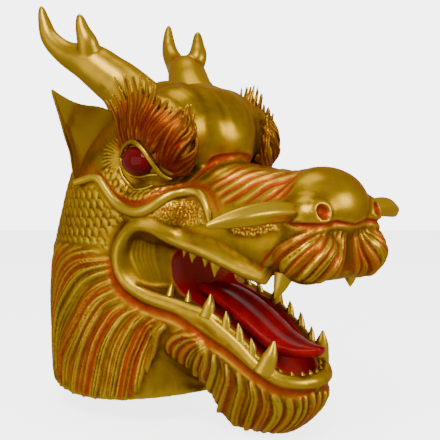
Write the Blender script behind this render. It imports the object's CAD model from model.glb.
"""Looks of the overhead dragon mask: gold latex with red airbrushing, carved hair, scales and folds.

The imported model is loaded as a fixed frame. The dragon looks along -Y, +X is its left and +Z is up.
The forms of the head repeat the shares of the part's source; strokes drawn on them are in millimetres.
"""

from __future__ import annotations

import logging
import math
from collections.abc import Sequence
from dataclasses import dataclass
from enum import Enum
from functools import reduce
from itertools import cycle
from operator import add
from typing import Any

import bmesh
import bpy
import numpy as np
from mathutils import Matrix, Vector
from mathutils.bvhtree import BVHTree


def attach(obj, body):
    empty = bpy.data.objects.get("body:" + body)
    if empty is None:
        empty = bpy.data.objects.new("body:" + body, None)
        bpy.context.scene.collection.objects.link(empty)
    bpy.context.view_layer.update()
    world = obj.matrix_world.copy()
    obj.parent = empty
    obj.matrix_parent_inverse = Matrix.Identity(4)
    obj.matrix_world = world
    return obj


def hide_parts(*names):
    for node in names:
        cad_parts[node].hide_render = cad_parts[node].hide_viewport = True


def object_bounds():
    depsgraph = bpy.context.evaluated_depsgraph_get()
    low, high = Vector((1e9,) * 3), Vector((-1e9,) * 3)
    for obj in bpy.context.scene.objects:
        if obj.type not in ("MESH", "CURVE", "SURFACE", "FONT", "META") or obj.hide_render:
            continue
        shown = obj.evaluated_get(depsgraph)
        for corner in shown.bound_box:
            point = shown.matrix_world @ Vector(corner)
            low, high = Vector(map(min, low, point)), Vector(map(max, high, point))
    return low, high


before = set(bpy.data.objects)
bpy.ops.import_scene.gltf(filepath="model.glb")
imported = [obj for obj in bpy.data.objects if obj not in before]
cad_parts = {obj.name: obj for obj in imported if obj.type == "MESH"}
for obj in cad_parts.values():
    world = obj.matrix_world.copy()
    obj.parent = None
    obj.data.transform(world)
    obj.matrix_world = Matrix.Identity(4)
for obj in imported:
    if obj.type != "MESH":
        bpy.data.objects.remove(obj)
CAD_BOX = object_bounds()
LOG = logging.getLogger("dragon_mask")

Rows = tuple[tuple[float, ...], ...]
Stack = tuple[str, dict[str, Any]]
Colour = tuple[float, float, float, float]

HEAD_HEIGHT = 0.300
HEAD_DEPTH = 0.216
HEAD_WIDTH = 0.186
GAPE_DROP = 0.152
SNOUT_REACH = 0.296
SNOUT_WIDTH = 0.126
SNOUT_HEIGHT = 0.092
JAW_REACH = 0.244
JAW_WIDTH = 0.168
JAW_DEPTH = 0.120
MOUTH_REACH = 0.256
MILLIMETRE = 0.001
STROKE_SOFTNESS = 1.4
NECK_ROUND_MM = 93.0
FULL_CREASE = 0.00012
CREASE_CONTRAST = 2.4
LOCK_CREST = 0.0015
MOUTH_BOX = ((0.0, -0.262, -0.278), (0.062, -0.082, -0.126))


class Taper(Enum):
    """How a stroke thins out along its length."""

    BOTH = "thin at both ends"
    NONE = "even, with short soft ends"


class Layer(Enum):
    """What a stroke raises or sinks; the layers are added up."""

    LOCKS = 0
    STRANDS = 1
    FOLDS = 2
    GROOVES = 3


class Channel(Enum):
    """What a channel of the painted attribute stands for."""

    RED = 0
    MOUTH = 1
    CAVITY = 2
    RIDGE = 3


def curve_through(rows: Sequence[Sequence[float]] | np.ndarray, steps: int) -> np.ndarray:
    """Sets rows closer together, on a smooth curve through the given ones.

    Args:
        rows: The rows to pass through.
        steps: How many steps lie between two of them.

    Returns:
        The denser rows.
    """
    table = np.asarray(rows, float)
    padded = np.vstack((2 * table[0] - table[1], table, 2 * table[-1] - table[-2]))
    share = np.arange(steps)[:, None] / steps
    parts = []
    for a, b, c, d in zip(padded, padded[1:], padded[2:], padded[3:]):
        bend = (2 * a - 5 * b + 4 * c - d) * share**2 + (3 * b - a - 3 * c + d) * share**3
        parts.append(0.5 * (2 * b + (c - a) * share + bend))
    return np.vstack((*parts, table[-1:]))


def resampled(line: np.ndarray, count: int) -> np.ndarray:
    """Spaces points evenly along a line.

    Args:
        line: The points of the line.
        count: How many points come back.

    Returns:
        The evenly spaced points.
    """
    dense = curve_through(line, 8)
    travel = np.concatenate(([0.0], np.cumsum(np.linalg.norm(np.diff(dense, axis=0), axis=1))))
    stops = np.linspace(0.0, travel[-1], count)
    return np.stack([np.interp(stops, travel, dense[:, axis]) for axis in range(dense.shape[1])], axis=1)


def signed_power(value: np.ndarray, power: np.ndarray) -> np.ndarray:
    """A power that keeps the sign, which squares off a round section."""
    return np.copysign(np.abs(value) ** power, value)


def smooth_step(value: np.ndarray, low: float, high: float) -> np.ndarray:
    """Runs smoothly from 0 at low to 1 at high."""
    share = np.clip((value - low) / (high - low), 0.0, 1.0)
    return share * share * (3.0 - 2.0 * share)


@dataclass
class Form:
    """The points and faces of a closed shape."""

    points: np.ndarray
    faces: list[tuple[int, ...]]

    def __add__(self, other: Form) -> Form:
        """Both shapes in one, still overlapping."""
        shift = len(self.points)
        moved = [tuple(index + shift for index in face) for face in other.faces]
        return Form(np.vstack((self.points, other.points)), self.faces + moved)

    def mirrored(self) -> Form:
        """The same shape on the other side of the dragon."""
        return Form(self.points * (-1.0, 1.0, 1.0), [face[::-1] for face in self.faces])

    def place(self, name: str) -> bpy.types.Object:
        """Makes an object of the shape, with its faces turned outward.

        Args:
            name: The name of the object.

        Returns:
            The new object.
        """
        mesh = bpy.data.meshes.new(name)
        mesh.from_pydata(self.points.tolist(), [], self.faces)
        body = bmesh.new()
        body.from_mesh(mesh)
        bmesh.ops.recalc_face_normals(body, faces=body.faces)
        body.to_mesh(mesh)
        body.free()
        piece = bpy.data.objects.new(name, mesh)
        bpy.context.scene.collection.objects.link(piece)
        return piece


def joined(forms: Sequence[Form]) -> Form:
    """All shapes in one, still overlapping."""
    return reduce(add, forms)


def loft(rings: Sequence[np.ndarray]) -> Form:
    """Spans a closed shape over rings of equally many points.

    Args:
        rings: The rings, from one flat end to the other.

    Returns:
        The shape.
    """
    count = len(rings[0])
    faces: list[tuple[int, ...]] = []
    for row in range(len(rings) - 1):
        low, high = row * count, (row + 1) * count
        for i in range(count):
            j = (i + 1) % count
            faces.append((low + i, low + j, high + j, high + i))
    last = (len(rings) - 1) * count
    faces.append(tuple(range(count))[::-1])
    faces.append(tuple(range(last, last + count)))
    return Form(np.vstack(rings), faces)


def tube(line: np.ndarray, radii: Sequence[float] | np.ndarray, sides: int = 16) -> Form:
    """Runs a closed tube along a line.

    Args:
        line: The points of the line.
        radii: The radius at each point.
        sides: How many sides the tube has.

    Returns:
        The tube.
    """
    points = [Vector(point) for point in line]
    side = (points[1] - points[0]).orthogonal()
    rings = []
    for i, point in enumerate(points):
        along = (points[min(i + 1, len(points) - 1)] - points[max(i - 1, 0)]).normalized()
        side = (side - along * side.dot(along)).normalized()
        across = along.cross(side)
        angles = np.arange(sides) * 2 * math.pi / sides
        ring = np.cos(angles)[:, None] * np.array(side) + np.sin(angles)[:, None] * np.array(across)
        rings.append(np.array(point) + ring * radii[i])
    return loft(rings)


def ellipsoid(centre: Sequence[float], radii: Sequence[float], count: int = 32) -> Form:
    """A closed ellipsoid.

    Args:
        centre: Its middle.
        radii: Its half sizes.
        count: How many points lie round it.

    Returns:
        The shape.
    """
    turns = np.linspace(0.02, math.pi - 0.02, count // 2)
    angles = np.arange(count) * 2 * math.pi / count
    rings = []
    for turn in turns:
        ring = np.stack((np.cos(angles) * math.sin(turn), np.sin(angles) * math.sin(turn),
                         np.full(count, math.cos(turn))), axis=1)
        rings.append(np.array(centre) + ring * np.array(radii))
    return loft(rings)


def section(half_top: float, half_under: float, top: float, under: float,
            square_top: float, square_under: float, count: int) -> np.ndarray:
    """A level-sided round section whose width changes from its top to its underside.

    Args:
        half_top: Half of its width at the top.
        half_under: Half of its width at the underside.
        top: The height of its top.
        under: The height of its underside.
        square_top: How square its upper half is.
        square_under: How square its lower half is.
        count: How many points lie round it.

    Returns:
        Its (x, z) points.
    """
    middle, half = (top + under) / 2, (top - under) / 2
    angles = 2 * math.pi * np.arange(count) / count
    square = np.where(np.sin(angles) > 0, square_top, square_under)
    across = signed_power(np.cos(angles), 2 / square)
    up = signed_power(np.sin(angles), 2 / square)
    width = half_under + (half_top - half_under) * (1 + up) / 2
    return np.stack((across * width, middle + half * up), axis=1)


def standing(outline: np.ndarray, y: float) -> np.ndarray:
    """A section's (x, z) points set at a place along Y."""
    return np.stack((outline[:, 0], np.full(len(outline), y), outline[:, 1]), axis=1)


def shaped(piece: bpy.types.Object, *stack: Stack) -> bpy.types.Object:
    """Applies modifiers to a piece.

    Args:
        piece: The piece.
        stack: The modifiers, each a type and its settings.

    Returns:
        The same piece.
    """
    for kind, settings in stack:
        modifier = piece.modifiers.new(kind, kind)
        for key, value in settings.items():
            setattr(modifier, key, value)
    depsgraph = bpy.context.evaluated_depsgraph_get()
    mesh = bpy.data.meshes.new_from_object(piece.evaluated_get(depsgraph))
    old = piece.data
    piece.modifiers.clear()
    piece.data = mesh
    mesh.name = piece.name
    bpy.data.meshes.remove(old)
    return piece


def fused(voxel: float, rounds: int) -> tuple[Stack, Stack]:
    """The modifiers that make one skin of overlapping forms and smooth it."""
    return ("REMESH", dict(mode="VOXEL", voxel_size=voxel)), ("SMOOTH", dict(factor=0.5, iterations=rounds))


def carved(piece: bpy.types.Object, tool: bpy.types.Object) -> None:
    """Cuts a tool out of a piece and takes the tool away."""
    shaped(piece, ("BOOLEAN", dict(operation="DIFFERENCE", object=tool, solver="EXACT")))
    bpy.data.objects.remove(tool)


def copied(piece: bpy.types.Object, name: str) -> bpy.types.Object:
    """A copy of a piece with its own mesh."""
    copy = bpy.data.objects.new(name, piece.data.copy())
    bpy.context.scene.collection.objects.link(copy)
    return copy


def grown(piece: bpy.types.Object, distance: float) -> bpy.types.Object:
    """Moves the surface of a piece out by a distance, or in where it is negative."""
    mesh = piece.data
    points, normals = vertex_arrays(mesh)
    mesh.vertices.foreach_set("co", (points + normals * distance).ravel())
    mesh.update()
    return piece


def vertex_arrays(mesh: bpy.types.Mesh) -> tuple[np.ndarray, np.ndarray]:
    """The places and the normals of a mesh's vertices."""
    points = np.empty(len(mesh.vertices) * 3)
    normals = np.empty(len(mesh.vertices) * 3)
    mesh.vertices.foreach_get("co", points)
    mesh.vertices.foreach_get("normal", normals)
    return points.reshape(-1, 3), normals.reshape(-1, 3)


def surface(piece: bpy.types.Object) -> BVHTree:
    """A search tree of a piece's faces."""
    points, _normals = vertex_arrays(piece.data)
    return BVHTree.FromPolygons(points.tolist(), [tuple(face.vertices) for face in piece.data.polygons])


def finish_piece(piece: bpy.types.Object, material: bpy.types.Material,
                 nodes: Sequence[str]) -> None:
    """Dresses a piece and puts it in the place of its CAD nodes.

    Args:
        piece: The piece.
        material: Its finish.
        nodes: The CAD nodes that it stands for.
    """
    if not piece.data.materials:
        piece.data.materials.append(material)
    for face in piece.data.polygons:
        face.use_smooth = True
    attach(piece, "root")
    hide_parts(*nodes)
    LOG.info("%s: %d triangles", piece.name, sum(len(face.vertices) - 2 for face in piece.data.polygons))


def both_sides(form: Form, part: str, paint: str, material: bpy.types.Material, *stack: Stack) -> None:
    """Builds a piece on the left and its mirror image on the right.

    Args:
        form: The shape on the left.
        part: The part that it is, which names its CAD nodes.
        paint: The last word of its name and of its slot.
        material: Its finish.
        stack: The modifiers that are applied to it.
    """
    for side, shape in (("left", form), ("right", form.mirrored())):
        piece = shape.place(f"{part}_{side}_{paint}")
        if stack:
            shaped(piece, *stack)
        finish_piece(piece, material, (f"{part}_{side}",))


@dataclass
class HeadForms:
    """The bare forms of the head, before anything is carved in them."""

    head: Rows = (
        (-1.12, 0.99, 1.01, 1.01), (-1.00, 0.99, 1.01, 1.01), (-0.84, 1.00, 1.03, 1.03),
        (-0.67, 1.00, 1.03, 1.03), (-0.51, 1.02, 0.98, 1.02), (-0.37, 1.06, 0.86, 0.99),
        (-0.27, 1.09, 0.76, 0.96), (-0.17, 1.13, 0.63, 0.90), (-0.09, 1.15, 0.46, 0.81),
        (-0.02, 1.11, 0.28, 0.67), (0.03, 1.00, 0.05, 0.50), (0.057, 0.85, -0.17, 0.30),
    )
    snout: Rows = (
        (0.07, 1.33, 1.08, -0.33), (0.20, 1.33, 1.06, -0.05), (0.33, 1.22, 1.03, 0.00),
        (0.42, 1.08, 0.99, -0.01), (0.54, 1.00, 0.94, -0.06), (0.64, 0.99, 0.90, -0.12),
        (0.74, 0.99, 0.88, -0.19), (0.83, 0.96, 0.86, -0.23), (0.90, 0.86, 0.78, -0.22),
        (0.94, 0.66, 0.62, -0.14),
    )
    jaw: Rows = (
        (0.08, 1.00, 0.85, -0.08, -1.08), (0.25, 0.98, 0.76, -0.20, -1.12),
        (0.41, 0.90, 0.60, -0.32, -1.15), (0.54, 0.81, 0.52, -0.42, -1.20),
        (0.61, 0.78, 0.47, -0.49, -1.48), (0.70, 0.74, 0.43, -0.58, -1.50),
        (0.78, 0.70, 0.41, -0.69, -1.47), (0.85, 0.65, 0.38, -0.81, -1.44),
        (0.92, 0.57, 0.33, -0.92, -1.35), (0.965, 0.45, 0.26, -0.98, -1.25),
        (0.99, 0.29, 0.18, -1.00, -1.17),
    )
    masses: Rows = (
        (0.00, -0.311, -0.120, 0.62, 0.59, 0.60), (0.68, -0.290, -0.135, 0.26, 0.52, 0.50),
        (0.66, -0.270, -0.370, 0.27, 0.50, 0.36), (0.00, -0.838, -0.347, 0.54, 0.45, 0.41),
        (0.42, -0.880, -0.375, 0.25, 0.26, 0.24), (0.41, -0.875, -0.490, 0.30, 0.30, 0.30),
        (0.40, -0.285, -0.100, 0.40, 0.52, 0.50), (0.20, -0.215, -0.050, 0.48, 0.50, 0.42),
    )
    mouth: Rows = (
        (0.345, 0.50, 0.42, -0.09, -0.23), (0.37, 0.80, 0.74, 0.03, -0.35),
        (0.47, 0.86, 0.84, 0.13, -0.50), (0.59, 0.83, 0.80, 0.17, -0.62),
        (0.70, 0.80, 0.72, 0.14, -0.77), (0.80, 0.78, 0.62, 0.09, -0.93),
        (0.87, 0.76, 0.50, 0.05, -0.99), (0.91, 0.72, 0.36, 0.02, -0.92),
        (0.955, 0.64, 0.20, -0.02, -0.62), (1.00, 0.48, 0.16, -0.08, -0.30),
    )
    lips: Rows = (
        (0.505, -0.750, -0.570), (0.570, -0.676, -0.550), (0.613, -0.598, -0.523),
        (0.645, -0.507, -0.493), (0.677, -0.426, -0.473), (0.753, -0.372, -0.450),
        (0.860, -0.324, -0.417), (0.882, -0.264, -0.420), (0.882, -0.209, -0.453),
        (0.892, -0.176, -0.507), (0.882, -0.172, -0.560), (0.849, -0.196, -0.610),
        (0.774, -0.257, -0.653), (0.699, -0.338, -0.677), (0.613, -0.412, -0.693),
        (0.570, -0.490, -0.713), (0.538, -0.561, -0.753), (0.505, -0.635, -0.800),
        (0.473, -0.699, -0.853), (0.387, -0.760, -0.893), (0.226, -0.797, -0.907),
        (0.000, -0.814, -0.907),
    )
    nostril: tuple[float, float, float] = (0.463, -0.959, -0.353)
    nostril_radius: float = 0.0085
    lip_radius: float = 0.008
    ring: int = 72
    steps: int = 4
    coarse_voxel: float = 0.0024
    smoothing: int = 20
    rim_front: float = 0.125
    rim_front_rise: float = 0.009
    rim_back_rise: float = 0.022
    rim_dip: float = 0.010

    def head_form(self) -> Form:
        """The skull and neck, a stack of level ovals."""
        rings = []
        angles = 2 * math.pi * np.arange(self.ring) / self.ring
        for height, front, back, side in curve_through(self.head, self.steps):
            near, far = -front * HEAD_DEPTH / 2, back * HEAD_DEPTH / 2
            middle, depth = (near + far) / 2, (far - near) / 2
            rings.append(np.stack((
                side * HEAD_WIDTH / 2 * np.cos(angles),
                middle + depth * np.sin(angles),
                np.full(self.ring, height * HEAD_HEIGHT),
            ), axis=1))
        return loft(rings)

    def snout_form(self) -> Form:
        """The upper jaw from the face to the nose."""
        rings = []
        for reach, side, top, lip in curve_through(self.snout, self.steps):
            half = side * SNOUT_WIDTH / 2
            high, low = top * SNOUT_HEIGHT - GAPE_DROP, lip * SNOUT_HEIGHT - GAPE_DROP
            outline = section(half * 0.8, half * 1.04, high, low, 2.6, 3.2, self.ring)
            rings.append(standing(outline, -reach * SNOUT_REACH))
        return loft(rings)

    def jaw_form(self) -> Form:
        """The lower jaw with the beard below it."""
        rings = []
        for reach, lip_side, under_side, lip, under in curve_through(self.jaw, self.steps):
            high, low = lip * JAW_DEPTH - GAPE_DROP, under * JAW_DEPTH - GAPE_DROP
            halves = (lip_side * JAW_WIDTH / 2, under_side * JAW_WIDTH / 2)
            outline = section(*halves, high, low, 5.0, 2.4, self.ring)
            rings.append(standing(outline, -reach * JAW_REACH))
        return loft(rings)

    def mass_forms(self) -> Form:
        """The rounded masses, one in the middle or one on each side."""
        forms = []
        half = HEAD_WIDTH / 2
        for x, y, z, wide, long, tall in self.masses:
            centre = (x * half, y * SNOUT_REACH, z * HEAD_HEIGHT)
            mass = ellipsoid(centre, (wide * half, long * half, tall * half), 40)
            forms += [mass, mass.mirrored()] if x else [mass]
        return joined(forms)

    def lip_forms(self) -> Form:
        """The rolled lips."""
        line = shares(curve_through(self.lips, self.steps))
        roll = tube(line, np.full(len(line), self.lip_radius), 20)
        return roll + roll.mirrored()

    def mouth_form(self) -> Form:
        """The space inside the lips, from the throat to behind the front teeth."""
        rings = []
        for reach, roof_side, floor_side, roof, floor in curve_through(self.mouth, self.steps):
            halves = (roof_side * SNOUT_WIDTH / 2, floor_side * SNOUT_WIDTH / 2)
            high, low = roof * JAW_DEPTH - GAPE_DROP, floor * JAW_DEPTH - GAPE_DROP
            outline = section(*halves, high, low, 3.0, 3.0, 48)
            rings.append(standing(outline, -reach * MOUTH_REACH))
        return loft(rings)

    def neck_cutter(self) -> Form:
        """The space below the rim, which dips at the sides of the neck and stops short of the beard."""
        reach = HEAD_DEPTH / 2
        count = 24
        ys = np.linspace(-self.rim_front, HEAD_DEPTH, count)
        rise = np.where(ys < 0, self.rim_front_rise, self.rim_back_rise)
        zs = rise * (ys / reach) ** 2 - HEAD_HEIGHT - self.rim_dip
        outline_y = np.concatenate(([HEAD_DEPTH, -self.rim_front], ys))
        outline_z = np.concatenate(([-2 * HEAD_HEIGHT, -2 * HEAD_HEIGHT], zs))
        ends = [np.stack((np.full(count + 2, x), outline_y, outline_z), axis=1)
                for x in (-HEAD_WIDTH, HEAD_WIDTH)]
        return loft(ends)

    def solid(self) -> bpy.types.Object:
        """The head as one smooth solid with its mouth closed off."""
        forms = self.head_form() + self.snout_form() + self.jaw_form() + self.mass_forms() + self.lip_forms()
        return shaped(forms.place("solid"), *fused(self.coarse_voxel, self.smoothing))

    def nostrils(self, wall: float = 0.0) -> list[bpy.types.Object]:
        """The two nostril pits, or the flesh round them.

        Args:
            wall: How thick that flesh is.

        Returns:
            The pits.
        """
        hole = ellipsoid(shares([self.nostril])[0], (self.nostril_radius + wall,) * 3, 24)
        return [hole.place("hole"), hole.mirrored().place("hole")]


def shares(rows: Sequence[Sequence[float]] | np.ndarray) -> np.ndarray:
    """Points in metres from shares of half the head's width, the snout's reach and the head's height."""
    return np.asarray(rows, float)[:, :3] * (HEAD_WIDTH / 2, SNOUT_REACH, HEAD_HEIGHT)


def keep_higher(target: np.ndarray, index: np.ndarray, value: np.ndarray) -> None:
    """Writes values to places of an array where they are higher than what is there."""
    target[index] = np.maximum(target[index], value)


def scattered(column: np.ndarray, row: np.ndarray, first: float, second: float) -> np.ndarray:
    """A number from 0 to 1 for each cell of a grid, spread like a random one but the same each time."""
    value = np.sin(column * first + row * second) * 43758.5453
    return value - np.floor(value)


class Relief:
    """Heights and paint laid over a mesh by strokes that are drawn on one side of it."""

    def __init__(self, mesh: bpy.types.Mesh, tree: BVHTree, seed: int = 7) -> None:
        """Takes the mesh to raise, and the smooth surface that strokes are drawn on.

        Args:
            mesh: The fine mesh.
            tree: The smooth surface.
            seed: Where the random spread of strands starts.
        """
        self.mesh = mesh
        self.tree = tree
        self.rng = np.random.default_rng(seed)
        self.places, self.normals = vertex_arrays(mesh)
        mirror = np.where(self.places[:, :1] < 0, -1.0, 1.0) * (1.0, 0.0, 0.0) + (0.0, 1.0, 1.0)
        self.points = (self.places * mirror).astype(np.float32)
        self.facing = (self.normals * mirror).astype(np.float32)
        self.heights = np.zeros((len(Layer), len(self.points)), np.float32)
        self.paint = np.zeros((len(Channel), len(self.points)), np.float32)

    def snapped(self, line: np.ndarray) -> tuple[np.ndarray, np.ndarray]:
        """Lays points on the smooth surface.

        Args:
            line: The points, on the left side.

        Returns:
            The points on the surface and the normals there.
        """
        hits = [self.tree.find_nearest(Vector(point)) for point in line]
        return np.array([hit[0] for hit in hits]), np.array([hit[1] for hit in hits])

    def draw(self, line: np.ndarray, width: float, height: float, layer: Layer = Layer.FOLDS,
             taper: Taper = Taper.BOTH, red: float = 0.0, spread: float = 1.0) -> None:
        """Raises or sinks one stroke, and paints it.

        Args:
            line: Its points in metres.
            width: Half of its width.
            height: How far it stands out.
            layer: The layer it belongs to.
            taper: How it thins out.
            red: How red it is.
            spread: How far the paint spreads, in half widths.
        """
        course, out = self.snapped(resampled(line, max(8, len(line) * 4)))
        count = len(course)
        share = np.linspace(0, 1, count)
        thick = {
            Taper.BOTH: np.sin(math.pi * np.clip(share * 0.92 + 0.04, 0, 1)) ** 0.6,
            Taper.NONE: np.clip(np.minimum(share, 1 - share) * 8, 0, 1) ** 0.5,
        }[taper]
        reach = width * max(1.0, spread)
        low, high = course.min(0) - reach, course.max(0) + reach
        inside = np.all((self.points > low) & (self.points < high), axis=1)
        index = np.nonzero(inside)[0]
        if not len(index):
            return
        starts = course[:-1].astype(np.float32)
        legs = np.diff(course, axis=0).astype(np.float32)
        gap = self.points[index][:, None, :] - starts[None]
        along = np.clip((gap * legs).sum(-1) / np.maximum((legs**2).sum(-1), 1e-12), 0, 1)
        apart = ((gap - along[..., None] * legs) ** 2).sum(-1)
        nearest = apart.argmin(1)
        rows = np.arange(len(index))
        distance = np.sqrt(apart[rows, nearest])
        position = (nearest + along[rows, nearest]) / (count - 1)
        outward = (self.facing[index] * out[nearest]).sum(-1) > 0.1
        thickness = np.interp(position, share, thick)
        scaled = distance / np.maximum(width * (0.45 + 0.55 * thickness), 1e-6)
        profile = np.clip(1 - scaled**2, 0, 1) ** STROKE_SOFTNESS * thickness * outward
        keep_higher(self.heights[layer.value], index, profile * height)
        if red:
            tint = np.clip(1 - (distance / (width * spread)) ** 2, 0, 1) * thickness**0.5 * outward
            keep_higher(self.paint[Channel.RED.value], index, tint * red)

    def bundle(self, guides: Sequence[Rows], locks: int, strands: int, lock_width: float,
               lock_height: float, strand_height: float, reds: Sequence[float], taper: Taper) -> None:
        """Fills the space between guide lines with locks of hair and finer strands on them.

        Args:
            guides: The guide lines in millimetres, side by side.
            locks: How many locks lie between two guides.
            strands: How many strands lie on each lock.
            lock_width: Half of the width of a lock.
            lock_height: How far a lock stands out.
            strand_height: How far a strand stands out of its lock.
            reds: How red the locks are, in turn.
            taper: How they thin out.
        """
        lines = [resampled(np.asarray(guide, float) * MILLIMETRE, 9) for guide in guides]
        turn = cycle(reds)
        for low, high in zip(lines, lines[1:]):
            for lock in range(locks):
                share = (lock + self.rng.uniform(0.35, 0.65)) / locks
                red = next(turn)
                height = lock_height * self.rng.uniform(0.6, 1.2)
                width = lock_width * self.rng.uniform(0.8, 1.2)
                self.draw(low + (high - low) * share, width, height, Layer.LOCKS, taper)
                for strand in range(strands):
                    offset = ((strand + 0.5) / strands - 0.5) / locks * 1.05
                    waver = np.linspace(self.rng.uniform(-0.4, 0.4), self.rng.uniform(-0.9, 0.9), 9)
                    place = np.clip(share + offset + waver[:, None] / (locks * strands), -0.1, 1.1)
                    line = resampled(low + (high - low) * place, 14)
                    line = line[self.rng.integers(0, 3):14 - self.rng.integers(0, 2)]
                    thin = lock_width / strands * self.rng.uniform(1.2, 2.2)
                    spray = float(np.clip(red + self.rng.uniform(-0.4, 0.35), 0.0, 1.0))
                    self.draw(line, thin, strand_height * self.rng.uniform(0.5, 1.25), Layer.STRANDS, taper,
                              spray, 1.3)

    def region(self, outline: Rows, feather: float) -> np.ndarray:
        """How far each vertex lies inside an outline drawn on the side of the head.

        Args:
            outline: Its corners: forward along the side and up, in millimetres.
            feather: The width of its soft edge in millimetres.

        Returns:
            A share for each vertex, 1 well inside.
        """
        forward, up = self.unrolled()
        corners = np.asarray(outline, float)
        inside = np.zeros(len(forward), bool)
        apart = np.full(len(forward), 1e9)
        for (x0, z0), (x1, z1) in zip(corners, np.roll(corners, -1, axis=0)):
            crosses = (z0 > up) != (z1 > up)
            slope = (x1 - x0) / (z1 - z0) if z1 != z0 else 0.0
            inside ^= crosses & (forward < x0 + slope * (up - z0))
            leg = np.array((x1 - x0, z1 - z0))
            along = np.clip(((forward - x0) * leg[0] + (up - z0) * leg[1]) / max(leg @ leg, 1e-9), 0, 1)
            apart = np.minimum(apart, np.hypot(forward - x0 - along * leg[0], up - z0 - along * leg[1]))
        share = smooth_step(np.where(inside, apart, -apart), -feather * 0.3, feather)
        away = self.facing[:, 0] * 0.93 + np.maximum(self.facing[:, 1], 0) * (self.points[:, 1] > 0.01)
        return share * smooth_step(away, 0.15, 0.45)

    def spray(self, outline: Rows, feather: float, red: float) -> None:
        """Sprays a region red.

        Args:
            outline: Its corners: forward along the side and up, in millimetres.
            feather: The width of its soft edge in millimetres.
            red: How red it is.
        """
        channel = self.paint[Channel.RED.value]
        np.maximum(channel, self.region(outline, feather) * red, out=channel)

    def unrolled(self) -> tuple[np.ndarray, np.ndarray]:
        """How far each vertex lies forward along the side of the head, and up, in millimetres."""
        y, x = self.points[:, 1] / MILLIMETRE, self.points[:, 0] / MILLIMETRE
        forward = np.where(y < 0, -y, -NECK_ROUND_MM * np.arctan2(y, np.maximum(x, 1e-3)))
        return forward, self.points[:, 2] / MILLIMETRE

    def scales(self, mask: np.ndarray, size: float, turn: float, height: float, dome: float,
               red: float) -> None:
        """Covers a region with rows of overlapping scales.

        Args:
            mask: The region.
            size: The width of a scale in millimetres.
            turn: The way its free edge points, in degrees up from straight forward.
            height: How far its free edge stands out, in metres.
            dome: How much of that is a dome rather than a step.
            red: How red the creases are.
        """
        index = np.nonzero(mask > 0.01)[0]
        forward, up = (value[index] for value in self.unrolled())
        angle = math.radians(turn)
        free = forward * math.cos(angle) + up * math.sin(angle)
        side = -forward * math.sin(angle) + up * math.cos(angle)
        pitch = size * 0.62
        base = np.floor(free / pitch)
        best = np.full(len(index), 1e9)
        top = np.zeros(len(index))
        for step in (-2, -1, 0, 1, 2):
            row = base + step
            shift = np.where(row % 2 == 0, 0.0, 0.5)
            column = np.round(side / size - shift) + shift
            jitter = scattered(row, column, 12.9898, 78.233) - 0.5
            centre_free = row * pitch + jitter * size * 0.10
            centre_side = column * size + jitter * size * 0.12
            radius = np.hypot((free - centre_free) * 0.95, side - centre_side) / (size * 0.60)
            covers = radius < 1
            tilt = (0.5 + 0.5 * (free - centre_free) / (size * 0.60)) * (1 - dome)
            value = tilt + dome * np.sqrt(np.clip(1 - radius**2, 0, 1))
            value *= np.clip((1 - radius) * 9, 0, 1)
            better = covers & (centre_free < best)
            top = np.where(better, value, top)
            best = np.where(better, centre_free, best)
        keep_higher(self.heights[Layer.FOLDS.value], index, top * height * mask[index])
        crease = np.clip(1 - top * 2.2, 0, 1) * mask[index]
        keep_higher(self.paint[Channel.RED.value], index, crease * red)

    def crumbs(self, mask: np.ndarray, size: float, height: float, red: float) -> None:
        """Covers a region with small uneven crumbs.

        Args:
            mask: The region.
            size: The usual width of a crumb in millimetres.
            height: How far they stand out, in metres.
            red: How red the gaps are.
        """
        index = np.nonzero(mask > 0.01)[0]
        forward, up = (value[index] / size for value in self.unrolled())
        nearest = np.full(len(index), 1e9)
        second = np.full(len(index), 1e9)
        for di in (-1, 0, 1):
            for dj in (-1, 0, 1):
                i, j = np.floor(forward) + di, np.floor(up) + dj
                apart = np.hypot(forward - (i + scattered(i, j, 127.1, 311.7)),
                                 up - (j + scattered(i, j, 269.5, 183.3)))
                second = np.where(apart < nearest, nearest, np.minimum(second, apart))
                nearest = np.minimum(nearest, apart)
        value = np.clip((second - nearest) * 2.2, 0, 1) ** 0.6
        keep_higher(self.heights[Layer.FOLDS.value], index, value * height * mask[index])
        keep_higher(self.paint[Channel.RED.value], index, (1 - value) * red * mask[index])

    def mouth_paint(self, tree: BVHTree, depth: float) -> None:
        """Marks the vertices on the walls of the mouth.

        Args:
            tree: The surface of the mouth form.
            depth: How near to it a vertex counts.
        """
        low, high = np.array(MOUTH_BOX)
        inside = np.all((self.points > low) & (self.points < high), axis=1)
        channel = self.paint[Channel.MOUTH.value]
        for index in np.nonzero(inside)[0]:
            hit = tree.find_nearest(Vector(self.points[index].tolist()), depth * 2)
            if hit[0] is not None and self.facing[index] @ np.array(hit[1]) < -0.2:
                channel[index] = np.clip(2 - hit[3] / depth, 0, 1)

    def press(self) -> None:
        """Moves the vertices and writes the paint, with the creases and ridges that came out of it."""
        locks, strands, folds, grooves = self.heights
        rise = locks + strands * (0.35 + 0.65 * np.clip(locks / LOCK_CREST, 0, 1)) + folds - grooves
        moved = self.places + self.normals * rise[:, None]
        self.mesh.vertices.foreach_set("co", moved.ravel())
        self.mesh.update()
        bend = self.curvature()
        self.paint[Channel.CAVITY.value] = np.clip(bend * CREASE_CONTRAST, 0, 1)
        self.paint[Channel.RIDGE.value] = np.clip(-bend * CREASE_CONTRAST, 0, 1)
        self.write_paint()

    def write_paint(self) -> None:
        """Writes the channels of paint to the mesh."""
        layer = self.mesh.attributes.new("paint", "FLOAT_COLOR", "POINT")
        layer.data.foreach_set("color", self.paint.T.ravel())

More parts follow.
